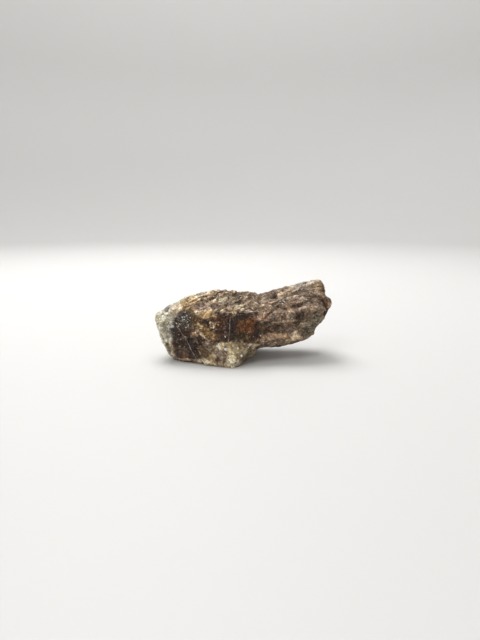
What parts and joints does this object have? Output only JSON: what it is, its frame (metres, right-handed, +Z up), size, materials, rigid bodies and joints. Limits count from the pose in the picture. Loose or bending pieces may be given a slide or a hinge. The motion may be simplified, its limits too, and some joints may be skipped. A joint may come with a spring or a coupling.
{
  "type": "apatite crystal",
  "caption": "Rough apatite crystal with a broken glassy face, a weathered ridged tail that rises clear of the table, and a flat foot to rest on.",
  "frame": {"origin": "on the table plane, under the middle of the stone's box", "axes": "+X along the stone towards its raised tail, +Y away from the broken glassy face, +Z up from the table"},
  "size_m": [0.0536, 0.0245, 0.0231],
  "materials": {
    "apatite": "rough weathered crust of ochre, umber and grey-green; glassy dark red-brown on the broken face"
  },
  "bodies": {
    "root": {"apatite_crystal": "apatite"}
  },
  "joints": []
}
